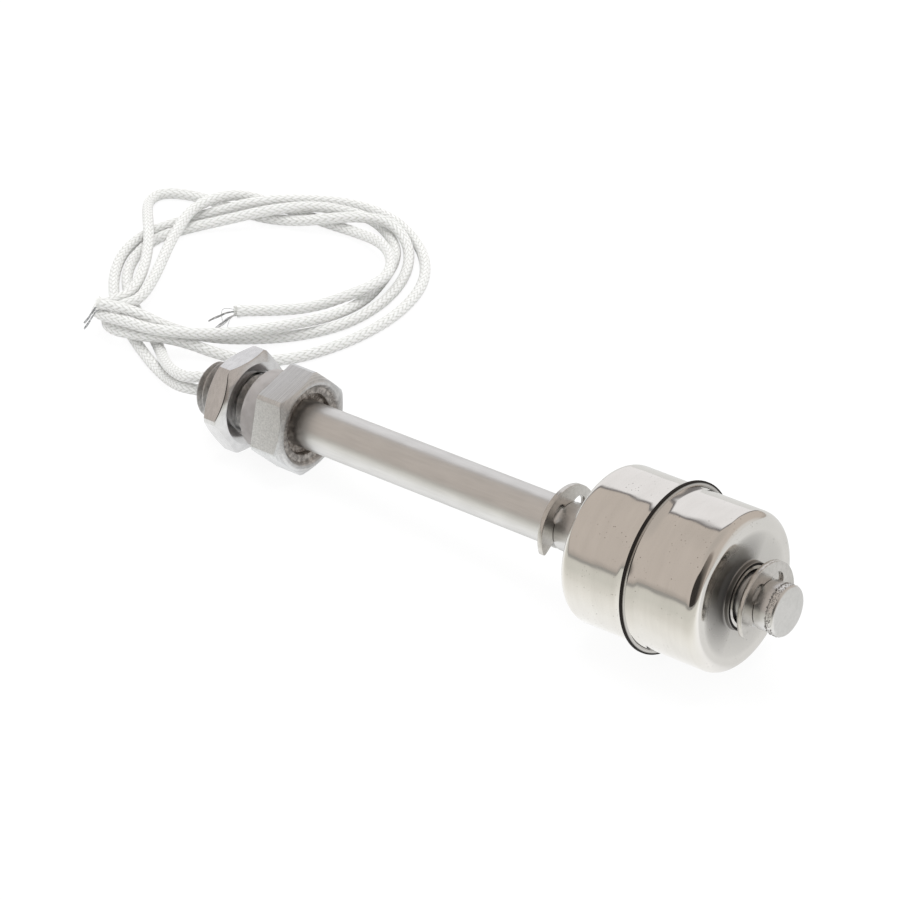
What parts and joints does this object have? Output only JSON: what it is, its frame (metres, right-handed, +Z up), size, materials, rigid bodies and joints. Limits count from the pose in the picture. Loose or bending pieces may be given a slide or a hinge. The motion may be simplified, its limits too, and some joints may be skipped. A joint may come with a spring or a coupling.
{
  "type": "liquid level sensor",
  "caption": "Stainless float switch: hexagonal threaded head with washer and lock nut, closed stem, float sliding between clips, loose braided leads.",
  "frame": {"origin": "middle of the sensor's box without its leads, on the surface that it lies on", "axes": "+Z up from that surface, +X from the head to the tip of the stem, which rises slightly because the float is larger than the nut"},
  "size_m": [0.1769, 0.085, 0.028],
  "materials": {
    "cast_steel": "cast and machined stainless",
    "nut_steel": "satin stainless",
    "polished_steel": "polished stainless",
    "satin_steel": "satin stainless",
    "spring_steel": "stamped stainless",
    "silicone": "translucent",
    "nylon": "moulded",
    "ferrite": "sintered",
    "reed_glass": "clear",
    "contact_alloy": "plated",
    "heat_shrink": "matte",
    "crimp": "tinned",
    "resin": "cast",
    "lead_braid": "braided sleeve",
    "tinned_copper": "bare strands"
  },
  "bodies": {
    "root": {"threaded_head": "cast_steel", "sealing_washer": "silicone", "stem_tube": "polished_steel", "stem_end_cap": "satin_steel", "upper_retaining_clip": "spring_steel", "lower_retaining_clip": "spring_steel", "reed_capsule": "reed_glass", "reed_blade_upper": "contact_alloy", "reed_blade_lower": "contact_alloy", "reed_sleeve": "heat_shrink", "splice_upper": "crimp", "splice_lower": "crimp", "inner_lead_a": "lead_braid", "inner_lead_b": "lead_braid", "potting_plug": "resin", "lead_a": "lead_braid", "lead_b": "lead_braid", "lead_coil": "lead_braid", "lead_a_tail": "lead_braid", "lead_b_tail": "lead_braid", "lead_a_strands": "tinned_copper", "lead_b_strands": "tinned_copper"},
    "float": {"float_upper_shell": "polished_steel", "float_lower_shell": "polished_steel", "float_bore_tube": "polished_steel", "magnet_holder": "nylon", "ring_magnet": "ferrite"},
    "nut": {"hex_nut": "nut_steel"}
  },
  "joints": [
    {"name": "float_travel", "type": "slide", "parent": "root", "child": "float", "axis": [0.9977, 0, 0.0675], "range_m": [-0.0065, 0.0021]},
    {"name": "nut_travel", "type": "slide", "parent": "root", "child": "nut", "axis": [0.9977, 0, 0.0675], "range_m": [-0.004, 0.0022]}
  ]
}
